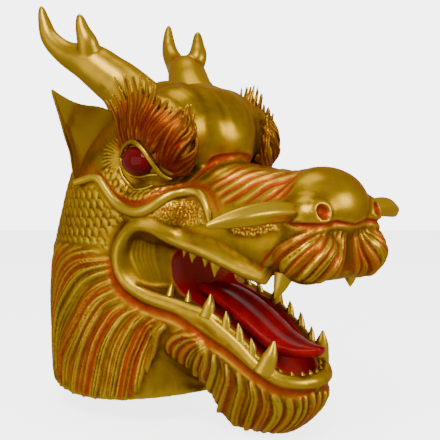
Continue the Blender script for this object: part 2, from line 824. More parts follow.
    def curvature(self) -> np.ndarray:
        """How hollow the surface is at each vertex, 1 in a sharp crease and -1 on a sharp ridge."""
        points, normals = vertex_arrays(self.mesh)
        ends = np.empty(len(self.mesh.edges) * 2, np.int64)
        self.mesh.edges.foreach_get("vertices", ends)
        first, second = ends.reshape(-1, 2).T
        count = len(points)
        links = np.bincount(first, minlength=count) + np.bincount(second, minlength=count)

        def mean(values: np.ndarray) -> np.ndarray:
            """The mean of a value over each vertex's neighbours."""
            total = np.bincount(first, values[second], count) + np.bincount(second, values[first], count)
            return total / links

        offset = np.stack([mean(points[:, axis]) for axis in range(3)], axis=1) - points
        bend = (offset * normals).sum(1) / FULL_CREASE
        for _round in range(3):
            bend = 0.4 * bend + 0.6 * mean(bend)
        return np.clip(bend, -1, 1)


@dataclass
class MaskSkin:
    """The hollow latex skin with the mouth, the mane, the beard and every fold carved in it."""

    forms: HeadForms
    wall: float = 0.0025
    lining: float = 0.002
    core_voxel: float = 0.003
    fine_voxel: float = 0.0011
    most_triangles: int = 196000
    nostril_rim: float = 0.0112
    creases: tuple[Rows, ...] = (
        ((0, -143, -53), (25, -138, -58), (35, -132, -66), (47, -129, -76), (53, -125, -83)),
        ((0, -160, -62), (16, -162, -66), (30, -164, -71), (40, -161, -77), (47, -151, -82)),
        ((0, -182, -66), (16, -182, -69), (30, -180, -73), (41, -169, -80), (50, -157, -88)),
        ((0, -204, -68), (25, -202, -73), (36, -189, -78), (45, -181, -85), (53, -166, -95)),
        ((0, -222, -70), (19, -221, -72), (34, -212, -78), (42, -200, -84), (49, -191, -92),
         (55, -174, -101)),
        ((8, -242, -71), (32, -238, -77), (40, -219, -85), (47, -211, -91), (52, -200, -100)),
        ((34, -241, -79), (41, -234, -86), (46, -228, -92), (52, -219, -99)),
        ((40, -246, -84), (46, -240, -90), (50, -234, -95)),
    )
    moustache: tuple[Rows, ...] = (
        ((49, -278, -123), (57, -266, -127), (62, -253, -136), (58, -232, -145), (54, -212, -160)),
        ((44, -281, -125), (52, -279, -135), (59, -275, -142), (64, -266, -151), (60, -249, -164)),
        ((24, -279, -127), (36, -284, -138), (48, -284, -147), (54, -278, -157), (54, -265, -169)),
        ((12, -280, -127), (15, -280, -140), (22, -280, -151), (32, -281, -160), (36, -275, -170)),
        ((6, -280, -129), (7, -279, -141), (8, -278, -152), (8, -277, -162), (8, -272, -169)),
    )
    mane: tuple[Rows, ...] = (
        ((10, 104, -140), (6, 106, -165), (4, 107, -200), (2, 108, -240), (2, 109, -314)),
        ((40, 92, -142), (28, 100, -168), (20, 105, -200), (14, 107, -240), (12, 108, -314)),
        ((66, 74, -146), (50, 92, -170), (38, 100, -205), (30, 103, -245), (28, 104, -314)),
        ((84, 42, -148), (72, 70, -172), (58, 88, -210), (50, 94, -250), (46, 97, -314)),
        ((92, 8, -148), (88, 38, -163), (78, 64, -196), (68, 80, -240), (63, 88, -314)),
        ((89, -46, -157), (93, -18, -157), (94, 6, -161), (91, 29, -173), (87, 48, -200), (80, 62, -250),
         (78, 68, -314)),
        ((88, -47, -169), (92, -28, -173), (95, -6, -183), (94, 16, -204), (87, 44, -240), (84, 56, -314)),
        ((85, -48, -188), (90, -34, -194), (94, -18, -208), (96, 2, -238), (89, 33, -275), (88, 40, -314)),
        ((82, -54, -206), (88, -43, -212), (91, -30, -228), (95, -14, -255), (93, 6, -314)),
        ((73, -78, -212), (78, -63, -220), (83, -52, -236), (88, -42, -259), (90, -28, -314)),
        ((67, -98, -223), (68, -83, -234), (72, -77, -250), (74, -69, -269), (78, -60, -314)),
        ((65, -106, -225), (65, -94, -236), (64, -86, -253), (64, -80, -268)),
    )
    beard: tuple[Rows, ...] = (
        ((60, -138, -230), (62, -118, -233), (62, -103, -241), (58, -95, -255)),
        ((59, -149, -236), (58, -129, -240), (56, -112, -250), (50, -103, -263)),
        ((58, -152, -242), (56, -138, -251), (51, -127, -264), (43, -119, -276)),
        ((57, -154, -243), (55, -151, -256), (50, -143, -271), (40, -130, -285), (24, -116, -294)),
        ((52, -178, -259), (49, -181, -273), (45, -174, -288), (34, -160, -308), (16, -148, -322)),
        ((46, -208, -271), (42, -210, -287), (37, -202, -302), (27, -186, -319), (12, -170, -328)),
        ((35, -228, -282), (30, -228, -296), (25, -220, -309), (18, -202, -322), (6, -186, -330)),
        ((20, -239, -283), (16, -238, -296), (13, -231, -307), (10, -214, -320), (4, -194, -330)),
        ((3, -245, -281), (3, -243, -292), (2, -237, -303), (1, -222, -316), (1, -200, -328)),
    )
    outer_groove: Rows = (
        (86, -44, -157), (85, -45, -176), (81, -53, -193), (75, -68, -204), (71, -91, -212), (65, -115, -217),
        (60, -139, -229), (58, -156, -237), (55, -177, -247), (51, -196, -259), (46, -213, -268),
        (39, -228, -276), (25, -239, -279), (0, -243, -279),
    )
    lower_ridge: Rows = (
        (77, -72, -190), (70, -95, -196), (61, -120, -202), (54, -144, -212), (49, -165, -223),
        (46, -187, -236), (43, -207, -251), (36, -225, -266), (22, -236, -271),
    )
    upper_ridge: Rows = (
        (82, -84, -121), (78, -99, -124), (71, -111, -130), (65, -126, -135), (61, -142, -138),
        (58, -158, -141), (55, -179, -148), (50, -203, -157),
    )
    whisker_groove: Rows = (
        (88, -20, -70), (87, -34, -80), (86, -46, -93), (85, -60, -101), (84, -80, -104), (82, -98, -99),
        (72, -112, -88), (60, -122, -84), (54, -140, -84), (53, -154, -93), (55, -166, -108),
    )
    forehead_groove: Rows = ((0, -50, 36), (0, -90, 26), (0, -122, 2), (0, -140, -26))
    forehead_arch: Rows = ((36, -46, 20), (33, -84, 16), (29, -114, -2), (25, -136, -32))
    forehead_wrinkle: Rows = ((30, -106, 6), (26, -112, 2), (24, -117, -3))
    nose_fold: Rows = (
        (50, -252, -114), (58, -258, -117), (57, -268, -118), (49, -280, -119), (30, -288, -120),
        (10, -289, -121), (0, -288, -121),
    )
    neck_scales: Rows = (
        (-150, -146), (-60, -150), (-20, -148), (20, -148), (42, -152), (43, -140), (50, -128), (64, -121),
        (86, -121), (78, -116), (60, -114), (46, -108), (34, -96), (22, -84), (0, -88), (-30, -70),
        (-70, -60),
        (-150, -58),
    )
    cheek_scales: Rows = (
        (28, -72), (38, -66), (50, -70), (60, -84), (75, -90), (95, -88), (108, -84), (116, -84), (108, -94),
        (88, -103), (68, -102), (52, -96), (40, -84),
    )
    brow_spray: Rows = (
        (48, -50), (42, -18), (50, -6), (64, 0), (82, 2), (96, -4), (108, -12), (116, -26), (118, -50),
        (118, -62), (113, -72), (104, -62), (94, -50), (82, -44), (68, -46), (56, -52),
    )
    ear_spray: Rows = ((-8, -62), (14, -60), (26, -74), (18, -84), (-14, -92), (-20, -76))
    cheek_crumbs: Rows = (
        (98, -114), (114, -102), (134, -98), (147, -106), (152, -122), (128, -127), (112, -122),
    )
    lip_crumbs: Rows = ((176, -119), (205, -114), (236, -117), (242, -124), (215, -132), (190, -131))

    def hollow(self) -> tuple[bpy.types.Object, BVHTree, BVHTree, BVHTree]:
        """The bare skin with its walls and its mouth.

        Returns:
            The skin, and search trees of its outside, its inside and its mouth.
        """
        solid = self.forms.solid()
        core = shaped(grown(copied(solid, "core"), -self.wall),
                      ("REMESH", dict(mode="VOXEL", voxel_size=self.core_voxel)))
        mouth = self.forms.mouth_form().place("mouth")
        around = grown(self.forms.mouth_form().place("around"), self.lining)
        for tool in (around, *self.forms.nostrils(self.wall)):
            carved(core, tool)
        inside, mouth_tree = surface(core), surface(mouth)
        for hole in self.forms.nostrils():
            carved(solid, hole)
        outside = surface(solid)
        for tool in (mouth, core, self.forms.neck_cutter().place("neck")):
            carved(solid, tool)
        shaped(solid, *fused(self.fine_voxel, 3))
        return solid, outside, inside, mouth_tree

    def carve(self, relief: Relief) -> None:
        """Draws every fold, lock and scale.

        Args:
            relief: The relief to draw in.
        """
        mm = MILLIMETRE
        self.carve_snout(relief)
        relief.bundle(self.moustache, locks=2, strands=4, lock_width=5.6 * mm, lock_height=3.6 * mm,
                      strand_height=1.6 * mm, reds=(0.95, 0.6, 1.0, 0.4, 0.5, 0.9, 0.6), taper=Taper.BOTH)
        relief.bundle(self.mane, locks=2, strands=8, lock_width=6.6 * mm, lock_height=1.9 * mm,
                      strand_height=2.1 * mm, reds=(0.2, 0.75, 0.3, 0.45, 0.85, 0.2), taper=Taper.NONE)
        relief.bundle(self.beard, locks=2, strands=4, lock_width=5.4 * mm, lock_height=2.8 * mm,
                      strand_height=1.6 * mm, reds=(0.6, 0.1, 0.7, 0.15, 0.3), taper=Taper.NONE)
        relief.draw(np.array(self.whisker_groove) * mm, width=5.0 * mm, height=0.8 * mm,
                    layer=Layer.GROOVES, red=0.95, spread=1.4)
        relief.draw(np.array(self.outer_groove) * mm, width=6.5 * mm, height=2.2 * mm,
                    layer=Layer.GROOVES, taper=Taper.NONE, red=0.75, spread=1.7)
        relief.draw(np.array(self.forehead_groove) * mm, width=17 * mm, height=2.0 * mm, layer=Layer.GROOVES)
        relief.draw(np.array(self.forehead_arch) * mm, width=15 * mm, height=1.6 * mm)
        relief.draw(np.array(self.lower_ridge) * mm, width=5.0 * mm, height=2.4 * mm)
        relief.draw(np.array(self.upper_ridge) * mm, width=6.0 * mm, height=1.3 * mm)
        relief.scales(relief.region(self.neck_scales, feather=5.0), size=12.5, turn=40.0, height=1.5 * mm,
                      dome=0.10, red=0.12)
        relief.scales(relief.region(self.cheek_scales, feather=3.0), size=10.0, turn=-35.0, height=2.2 * mm,
                      dome=0.55, red=0.25)
        relief.spray(self.brow_spray, feather=5.0, red=0.95)
        relief.spray(self.ear_spray, feather=10.0, red=0.55)
        relief.crumbs(relief.region(self.cheek_crumbs, feather=4.0), size=2.6, height=1.5 * mm, red=0.8)
        relief.crumbs(relief.region(self.lip_crumbs, feather=3.0), size=3.4, height=2.2 * mm, red=0.9)
        self.carve_eye(relief)

    def carve_snout(self, relief: Relief) -> None:
        """Draws the wrinkles across the snout, the nostril rims and the fold behind them.

        Args:
            relief: The relief to draw in.
        """
        mm = MILLIMETRE
        lines = [resampled(np.array(rows) * mm, 12) for rows in self.creases]
        for number, line in enumerate(lines):
            depth = 1.5 if number == 0 else 2.0
            relief.draw(line, width=4.4 * mm, height=depth * mm, layer=Layer.GROOVES, red=0.95, spread=1.5)
        for low, high in zip(lines, lines[1:6]):
            relief.draw((low + high) / 2, width=7.0 * mm, height=1.8 * mm)
        nostril, radius = shares([self.forms.nostril])[0], self.forms.nostril_radius
        turns = np.linspace(0, 2 * math.pi, 17)
        ring = np.stack((0.75 * np.cos(turns), 0.5 * np.cos(turns), np.sin(turns)), axis=1)
        relief.draw(nostril + (0.0, 0.003, 0.0) + self.nostril_rim * ring, width=5.0 * mm, height=0.5 * mm,
                    taper=Taper.NONE, red=0.35)
        apart = np.linalg.norm(relief.points - nostril, axis=1)
        deep = 1 - smooth_step(apart, radius - 0.0002, radius + 0.0008)
        relief.paint[Channel.RED.value] = np.maximum(relief.paint[Channel.RED.value], deep)
        relief.draw(np.array(self.nose_fold) * mm, width=3.6 * mm, height=2.6 * mm, layer=Layer.GROOVES,
                    red=0.9, spread=1.8)

    def carve_eye(self, relief: Relief) -> None:
        """Draws the lashes behind the eye, the folds under it and the mouth-corner pleats.

        Args:
            relief: The relief to draw in.
        """
        mm = MILLIMETRE
        for i in range(15):
            angle = math.radians(118 + i * 7.5)
            reach = 15 + 9 * math.sin(math.pi * i / 14) + relief.rng.uniform(-2, 2)
            root = np.array((84, -62 - 10 * math.cos(angle), -58 + 12 * math.sin(angle)))
            tip = root + np.array((2, -reach * math.cos(angle), reach * math.sin(angle)))
            lash = np.stack((root, (root + tip) / 2 + (0, 0, 1), tip))
            relief.draw(lash * mm, width=1.5 * mm, height=1.3 * mm)
        for i in range(6):
            share = i / 5
            top = np.array((76 - 8 * share, -70 - 18 * share, -133 - 2 * share))
            middle = np.array((74 - 8 * share, -64 - 20 * share, -158))
            low = np.array((70 - 6 * share, -76 - 16 * share, -184 + 3 * share))
            relief.draw(np.stack((top, middle, low)) * mm, width=4.2 * mm, height=0.8 * mm)
        for i in range(4):
            line = np.array(self.forehead_wrinkle) + (0, -5 * i, -2.5 * i)
            relief.draw(line * mm, width=1.4 * mm, height=0.8 * mm)

    def sorted_faces(self, piece: bpy.types.Object, inside: BVHTree, raw: bpy.types.Material) -> None:
        """Gives the unpainted inside of the skin its own finish.

        Args:
            piece: The skin.
            inside: The surface of the hollow.
            raw: The finish of the inside.
        """
        piece.data.materials.append(raw)
        for face in piece.data.polygons:
            hit = inside.find_nearest(face.center, 0.0012)
            if hit[0] is not None and hit[1].dot(face.normal) < -0.3:
                face.material_index = 1

    def build(self, gold: bpy.types.Material, raw: bpy.types.Material) -> BVHTree:
        """Builds and dresses the skin.

        Args:
            gold: The painted finish.
            raw: The finish of the unpainted inside.

        Returns:
            A search tree of its smooth outside.
        """
        piece, outside, inside, mouth = self.hollow()
        piece.name = piece.data.name = "mask"
        relief = Relief(piece.data, outside)
        self.carve(relief)
        relief.mouth_paint(mouth, 0.0010)
        relief.press()
        shaped(piece, ("DECIMATE", dict(ratio=self.most_triangles / (2 * len(piece.data.polygons)))))
        piece.data.materials.clear()
        piece.data.materials.append(gold)
        self.sorted_faces(piece, inside, raw)
        finish_piece(piece, gold, ("mask_skin", "mouth_lining", "mane_left", "mane_right"))
        return outside


@dataclass
class Horns:
    """The forked horns."""

    beam: Rows = (
        (0.440, -0.180, -0.060, 0.390), (0.538, -0.085, 0.050, 0.290), (0.645, -0.037, 0.097, 0.258),
        (0.763, 0.017, 0.143, 0.231), (0.892, 0.108, 0.183, 0.145), (0.968, 0.172, 0.240, 0.108),
        (1.000, 0.193, 0.300, 0.075), (1.022, 0.199, 0.343, 0.043), (1.027, 0.203, 0.357, 0.016),
    )
    tine: Rows = (
        (0.785, 0.007, 0.140, 0.151), (0.882, -0.010, 0.207, 0.124), (0.925, 0.000, 0.253, 0.086),
        (0.946, 0.007, 0.293, 0.054), (0.957, 0.010, 0.310, 0.022),
    )
    voxel: float = 0.0016

    def branch(self, rows: Rows) -> Form:
        """One branch of a horn."""
        table = curve_through(rows, 5)
        return tube(shares(table), table[:, 3] * HEAD_WIDTH / 2, 24)

    def build(self, gold: bpy.types.Material) -> None:
        """Builds both horns in their finish."""
        horn = self.branch(self.beam) + self.branch(self.tine)
        both_sides(horn, "horn", "gold", gold, *fused(self.voxel, 8))


@dataclass
class Ears:
    """The pointed ears, thin blades cupped to the front."""

    edges: Rows = (
        (0.602, -0.128, -0.053, 0.774, 0.041, -0.307, 0.108),
        (0.882, -0.091, -0.017, 0.946, 0.047, -0.267, 0.129),
        (1.075, -0.068, -0.010, 1.043, 0.027, -0.187, 0.118),
        (1.215, -0.057, 0.000, 1.140, 0.014, -0.133, 0.086),
        (1.333, -0.041, 0.020, 1.258, -0.003, -0.060, 0.043),
        (1.430, -0.027, 0.040, 1.409, -0.024, 0.023, 0.005),
    )
    thick: float = 0.004

    def blade(self) -> Form:
        """One ear, with a rolled rim and a fold along its middle."""
        rings = []
        table = curve_through(self.edges, 6)
        across = np.linspace(0, 1, 15)
        for row, share in zip(table, np.linspace(0, 1, len(table))):
            high, low = shares([row[:3]])[0], shares([row[3:6]])[0]
            bow = row[6] * HEAD_WIDTH / 2
            middle = high + (low - high) * across[:, None]
            middle[:, 1] += bow * (1 - (2 * across - 1) ** 2)
            fold = 0.0022 * np.exp(-((across - 0.42) / 0.10) ** 2) * (1 - share)
            roll = 1.0 + 0.5 * np.exp(-((across * (1 - across)) / 0.05) ** 2) * (1 - share)
            half = self.thick / 2 * roll * np.minimum(1, 0.25 + 8 * across * (1 - across))
            front, back = middle.copy(), middle.copy()
            front[:, 1] -= half + fold
            back[:, 1] += half
            rings.append(np.vstack((front, back[::-1])))
        return loft(rings)

    def build(self, gold: bpy.types.Material) -> None:
        """Builds both ears in their finish."""
        both_sides(self.blade(), "ear", "gold", gold, ("SUBSURF", dict(levels=1)))


@dataclass
class Eyes:
    """The glossy red eyes."""

    centre: tuple[float, float, float] = (0.865, -0.272, -0.203)
    halves: tuple[float, float, float] = (0.155, 0.235, 0.168)
    buried: float = 0.004

    def build(self, red: bpy.types.Material) -> None:
        """Builds both eyes in their finish, cut off flat inside the wall that carries them."""
        centre = shares([self.centre])[0]
        ball = ellipsoid(centre, np.array(self.halves) * HEAD_WIDTH / 2, 64)
        flat = centre[0] - self.buried
        ball.points[:, 0] = np.maximum(ball.points[:, 0], flat)
        both_sides(ball, "eye", "red", red)


@dataclass
class Brows:
    """The fans of hair over the eyes, and the lids round them."""

    locks: Rows = (
        (0.86, -0.226, -0.170, 1.03, -0.142, 0.027), (0.87, -0.240, -0.155, 1.04, -0.182, 0.053),
        (0.88, -0.255, -0.143, 1.00, -0.230, 0.070), (0.88, -0.273, -0.136, 0.96, -0.270, 0.077),
        (0.87, -0.291, -0.134, 0.90, -0.318, 0.067), (0.87, -0.306, -0.138, 0.86, -0.361, 0.037),
        (0.85, -0.320, -0.145, 0.82, -0.399, 0.003), (0.82, -0.332, -0.157, 0.76, -0.429, -0.033),
        (0.80, -0.340, -0.170, 0.71, -0.450, -0.050),
    )
    tuft: Rows = (
        (0.77, -0.355, -0.200, 0.72, -0.430, -0.030), (0.74, -0.368, -0.210, 0.65, -0.442, -0.027),
        (0.73, -0.376, -0.218, 0.60, -0.446, -0.050), (0.72, -0.382, -0.224, 0.56, -0.446, -0.083),
        (0.71, -0.386, -0.230, 0.54, -0.442, -0.120), (0.70, -0.390, -0.236, 0.52, -0.432, -0.160),
        (0.69, -0.394, -0.242, 0.50, -0.419, -0.193),
    )
    upper_lid: Rows = ((78, -53, -57), (80, -60, -51), (83, -70, -44), (86, -82, -42), (84, -94, -49),
                       (78, -103, -62), (74, -107, -71), (68, -114, -79))
    lower_lid: Rows = ((78, -54, -58), (80, -59, -68), (82, -68, -76), (82, -82, -78), (80, -95, -75),
                       (75, -106, -73))
    under_fold: Rows = ((80, -52, -66), (82, -58, -77), (84, -70, -86), (84, -84, -87), (80, -97, -83))
    lock_radius: float = 0.0048
    strand_radius: float = 0.0019
    voxel: float = 0.0008
    eye: tuple[float, float, float] = (0.084, -0.083, -0.061)
    red_near: float = 0.035
    red_far: float = 0.085

    def strands(self, tree: BVHTree, rows: Rows, count: int, group: int, radius: float, raised: float,
                rng: np.random.Generator) -> list[Form]:
        """A fan of locks or finer strands that lies on the skin at its roots and stands free at its tips.

        Args:
            tree: The surface that they grow from.
            rows: Root and tip of the locks that the fan follows.
            count: How many there are.
            group: How many of them meet in one point.
            radius: How thick they are.
            raised: How far their middle is raised from the surface.
            rng: The source of their unevenness.

        Returns:
            The locks or strands.
        """
        forms = []
        table = resampled(np.array(rows), count)
        reach = 1.0
        for number, row in enumerate(table):
            first = number - number % group
            if number == first:
                reach = rng.uniform(0.88, 1.12)
            middle = table[first:first + group].mean(0)
            root = shares([row[:3]])[0]
            tip = shares([row[3:6] * 0.65 + middle[3:6] * 0.35])[0]
            tip = root + (tip - root) * reach * rng.uniform(0.92, 1.0)
            high = raised * rng.uniform(0.9, 1.25)
            points = []
            for share in (0.0, 0.15, 0.35, 0.55, 0.75, 1.0):
                free = Vector(root + (tip - root) * share)
                place, normal, _face, _distance = tree.find_nearest(free)
                rise = high * min(1.0, share * 3) * (1 - share**4)
                pull = share**1.5 if (free - place).dot(normal) > 0 else 0.0
                points.append(np.array(place + (free - place) * pull + normal * rise))
            line = curve_through(points, 4)
            share = np.linspace(0, 1, len(line))
            thick = radius * rng.uniform(0.75, 1.25) * (1 - share**3 * 0.80) * np.minimum(1, 0.6 + 2 * share)
            forms.append(tube(line, thick, 8))
        return forms

    def lid(self, tree: BVHTree, rows: Rows, radius: float, lift: float) -> Form:
        """A rolled fold of skin that follows the eye.

        Args:
            tree: The surface that it lies on.
            rows: Its points in millimetres.
            radius: Its thickness.
            lift: How far its middle is raised from the surface.

        Returns:
            The fold.
        """
        line = []
        for point in resampled(np.array(rows) * MILLIMETRE, 24):
            place, normal, _face, _distance = tree.find_nearest(Vector(point))
            line.append(np.array(place + normal * lift))
        share = np.linspace(0, 1, 24)
        return tube(np.array(line), radius * (0.45 + 0.55 * np.sin(math.pi * share) ** 0.5), 12)

    def build(self, tree: BVHTree, material: bpy.types.Material) -> None:
        """Builds both brows.

        Args:
            tree: The smooth outside of the skin.
            material: Their finish.
        """
        rng = np.random.default_rng(11)
        fan = []
        for rows, locks in ((self.locks, 13), (self.tuft, 8)):
            fan += self.strands(tree, rows, locks, 1, self.lock_radius, 0.0, rng)
            fan += self.strands(tree, rows, locks * 4, 4, self.strand_radius, self.lock_radius * 0.85, rng)
        lids = [
            self.lid(tree, self.upper_lid, radius=0.0030, lift=0.0022),
            self.lid(tree, self.lower_lid, radius=0.0022, lift=0.0012),
            self.lid(tree, self.under_fold, radius=0.0020, lift=0.0004),
        ]
        hair, lid = joined(fan), joined(lids)
        for side, forms in (("left", (hair, lid)), ("right", (hair.mirrored(), lid.mirrored()))):
            for name, form in zip((f"brow_{side}_hair", f"lid_{side}"), forms):
                piece = shaped(form.place(name), *fused(self.voxel, 2))
                self.paint(piece, hair=form is forms[0])
                finish_piece(piece, material, (f"brow_{side}",))

    def paint(self, piece: bpy.types.Object, hair: bool) -> None:
        """Paints the hair red with gold on its ridges, and leaves the lids gold.

        Args:
            piece: The fused hair or lids.
            hair: Whether it is hair.
        """
        relief = Relief(piece.data, surface(piece))
        bend = relief.curvature()
        relief.paint[Channel.CAVITY.value] = np.clip(bend * 1.6, 0, 1)
        relief.paint[Channel.RIDGE.value] = np.clip(-bend * 1.2, 0, 1)
        apart = np.linalg.norm(relief.points - np.array(self.eye), axis=1)
        fading = 0.95 - 0.50 * smooth_step(apart, self.red_near, self.red_far)
        relief.paint[Channel.RED.value] = fading if hair else 0.1
        relief.write_paint()


@dataclass
class Whiskers:
    """The whiskers that wind over the cheeks."""

    points: Rows = (
        (1.000, 0.027, -0.280, 0.032), (0.968, -0.020, -0.267, 0.043), (0.946, -0.081, -0.257, 0.049),
        (0.935, -0.128, -0.303, 0.054), (0.925, -0.176, -0.347, 0.056), (0.925, -0.230, -0.367, 0.056),
        (0.925, -0.284, -0.373, 0.056), (0.903, -0.341, -0.357, 0.056), (0.796, -0.385, -0.320, 0.054),
        (0.667, -0.412, -0.307, 0.049), (0.602, -0.456, -0.303, 0.047), (0.613, -0.497, -0.327, 0.045),
        (0.634, -0.524, -0.363, 0.041), (0.634, -0.534, -0.403, 0.028),
    )
    fuller: float = 1.12

    def build(self, gold: bpy.types.Material) -> None:
        """Builds both whiskers in their finish."""
        table = curve_through(self.points, 6)
        for _round in range(6):
            table[1:-1] = (table[:-2] + 2 * table[1:-1] + table[2:]) / 4
        whisker = tube(shares(table), table[:, 3] * self.fuller * HEAD_WIDTH / 2, 20)
        both_sides(whisker, "whisker", "gold", gold)


@dataclass
class Barbels:
    """The fleshy barbels that stand out beside the nose."""

    points: Rows = (
        (0.516, -0.868, -0.357, 0.086), (0.600, -0.868, -0.357, 0.084), (0.710, -0.868, -0.357, 0.095),
        (0.968, -0.861, -0.357, 0.103), (1.237, -0.841, -0.367, 0.092), (1.441, -0.814, -0.380, 0.060),
        (1.570, -0.797, -0.390, 0.024),
    )
    sides: int = 40
    rib: float = 0.07
    collar: tuple[float, float] = (0.10, 0.17)

    def form(self) -> Form:
        """One barbel, with soft ribs along it and a ring at its root."""
        table = curve_through(self.points, 8)
        centres = shares(table)
        barbel = tube(centres, table[:, 3] * HEAD_WIDTH / 2, self.sides)
        rings = barbel.points.reshape(len(table), self.sides, 3)
        angles = np.arange(self.sides) * 2 * math.pi / self.sides
        for centre, ring, share in zip(centres, rings, np.linspace(0, 1, len(table))):
            rib = 1 + self.rib * np.cos(5 * angles + 2 * share) * math.sin(math.pi * share)
            swell, neck = (math.exp(-((share - place) / 0.03) ** 2) for place in self.collar)
            ring[:] = centre + (ring - centre) * (rib * (1 + 0.10 * swell - 0.08 * neck))[:, None]
        barbel.points = rings.reshape(-1, 3)
        return barbel

    def build(self, gold: bpy.types.Material) -> None:
        """Builds both barbels in their finish."""
        both_sides(self.form(), "barbel", "gold", gold)


@dataclass
class Teeth:
    """The curved teeth of both jaws."""

    upper: Rows = (
        (0.56, -0.395, -0.490, 0.56, -0.389, -0.533, 0.04),
        (0.61, -0.446, -0.503, 0.60, -0.443, -0.547, 0.05),
        (0.60, -0.503, -0.510, 0.60, -0.503, -0.557, 0.05),
        (0.59, -0.544, -0.520, 0.59, -0.544, -0.590, 0.07),
        (0.57, -0.632, -0.533, 0.58, -0.635, -0.583, 0.06),
        (0.54, -0.713, -0.557, 0.56, -0.720, -0.597, 0.06),
        (0.56, -0.821, -0.560, 0.65, -0.811, -0.633, 0.10),
    )
    lower: Rows = (
        (0.65, -0.348, -0.657, 0.58, -0.345, -0.597, 0.05),
        (0.60, -0.419, -0.677, 0.56, -0.416, -0.623, 0.05),
        (0.57, -0.503, -0.703, 0.54, -0.517, -0.623, 0.09),
        (0.53, -0.574, -0.740, 0.53, -0.578, -0.677, 0.06),
        (0.51, -0.628, -0.777, 0.52, -0.628, -0.710, 0.06),
        (0.48, -0.679, -0.823, 0.51, -0.679, -0.753, 0.06),
        (0.45, -0.723, -0.857, 0.40, -0.760, -0.750, 0.12),
    )
    front: Rows = (
        (0.333, -0.757, -0.893), (0.237, -0.780, -0.903), (0.118, -0.794, -0.907), (0.0, -0.797, -0.907),
    )
    front_height: float = 0.012
    short: float = 0.86
    sunk: float = 0.15
    slim: float = 0.78
    profile: Rows = (
        (-0.35, 1.30), (-0.1, 1.15), (0.1, 1.0), (0.35, 0.84), (0.6, 0.58), (0.82, 0.30), (0.97, 0.10),
    )

    def tooth(self, base: np.ndarray, tip: np.ndarray, radius: float) -> Form:
        """One tooth, swollen at the gum and bent a little near its tip."""
        tip = base + (tip - base) * self.short
        base = base + (tip - base) * self.sunk
        radius *= self.slim
        table = curve_through(self.profile, 3)
        lean = np.array((0.0, radius * 0.35, 0.0))
        line = np.array([base + (tip - base) * share + lean * max(0.0, share) ** 2 - lean * 0.3 * share
                         for share in table[:, 0]])
        return tube(line, radius * table[:, 1], 14)

    def row(self, rows: Rows) -> list[Form]:
        """The teeth of a table, on both sides."""
        forms = []
        for row in np.array(rows):
            form = self.tooth(shares([row[:3]])[0], shares([row[3:6]])[0], row[6] * HEAD_WIDTH / 2)
            forms += [form, form.mirrored()]
        return forms

    def front_row(self) -> list[Form]:
        """The small front teeth of the lower jaw."""
        forms = []
        for row in self.front:
            base = shares([row])[0]
            tip = base + np.array((0.0, 0.1, 1.0)) * self.front_height
            form = self.tooth(base, tip, self.front_height * 0.42)
            forms += [form, form.mirrored()] if row[0] else [form]
        return forms

    def build(self, gold: bpy.types.Material) -> None:
        """Builds the upper and the lower teeth in their finish."""
        sides = ("left", "right")
        names = {jaw: [f"{jaw}_{n}_{side}" for n in (1, 2, 3, 4, 5, 6, "fang") for side in sides]
                 for jaw in ("upper", "lower")}
        names["lower"] += [f"front_{n}_{side}" for n in (1, 2, 3) for side in sides] + ["front_4"]
        rows = {"upper": self.row(self.upper), "lower": self.row(self.lower) + self.front_row()}
        for name, forms in rows.items():
            finish_piece(joined(forms).place(f"{name}_teeth"), gold, names[name])


@dataclass
class Tongue:
    """The tongue on the floor of the mouth."""

    sections: Rows = (
        (-0.338, 0.215, -0.620, -0.660), (-0.422, 0.290, -0.633, -0.690), (-0.507, 0.312, -0.663, -0.733),
        (-0.591, 0.312, -0.707, -0.787), (-0.676, 0.290, -0.760, -0.833), (-0.750, 0.237, -0.787, -0.840),
        (-0.811, 0.140, -0.793, -0.830), (-0.841, 0.065, -0.793, -0.817),
    )
    groove: float = 0.004

    def build(self, red: bpy.types.Material) -> None:
        """Builds the tongue in its finish."""
        rings = []
        for y, half, top, under in curve_through(self.sections, 5):
            wide = half * HEAD_WIDTH / 2
            high, low = top * HEAD_HEIGHT, under * HEAD_HEIGHT
            outline = section(wide, wide * 0.8, high, low, 2.6, 2.2, 40)
            sink = self.groove * np.exp(-((outline[:, 0] / (wide * 0.28)) ** 2))
            outline[:, 1] -= np.where(outline[:, 1] > (high + low) / 2, sink, 0.0)
            rings.append(standing(outline, y * SNOUT_REACH))
        piece = shaped(loft(rings).place("tongue_flesh"), ("SUBSURF", dict(levels=1)))
        finish_piece(piece, red, ("tongue",))


class Value:
    """A number that varies over a surface; each operator on it adds a Math node."""

    def __init__(self, graph: Graph, socket: bpy.types.NodeSocket) -> None:
        """Wraps a socket of a graph."""
        self.graph = graph
        self.socket = socket

    def math(self, operation: str, *others: Value | float, clamp: bool = False) -> Value:
        """Adds a Math node.

        Args:
            operation: What it does.
            others: The other values that it takes.
            clamp: Whether its result is kept between 0 and 1.

        Returns:
            Its result.
        """
        settings = dict(operation=operation, use_clamp=clamp)
        return Value(self.graph, self.graph.node("ShaderNodeMath", settings, (self, *others)).outputs[0])

    def __add__(self, other: Value | float) -> Value:
        """The sum."""
        return self.math("ADD", other)

    def __radd__(self, other: float) -> Value:
        """The sum, with the number first."""
        return self.math("ADD", other)

    def __sub__(self, other: Value | float) -> Value:
        """The difference."""
        return self.math("SUBTRACT", other)

    def __rsub__(self, other: float) -> Value:
        """The difference, with the number first."""
        return self.math("MULTIPLY", -1.0) + other

    def __mul__(self, other: Value | float) -> Value:
        """The product."""
        return self.math("MULTIPLY", other)

    def __rmul__(self, other: float) -> Value:
        """The product, with the number first."""
        return self.math("MULTIPLY", other)

    def clamped(self) -> Value:
        """The value kept between 0 and 1."""
        return self.math("ADD", 0.0, clamp=True)


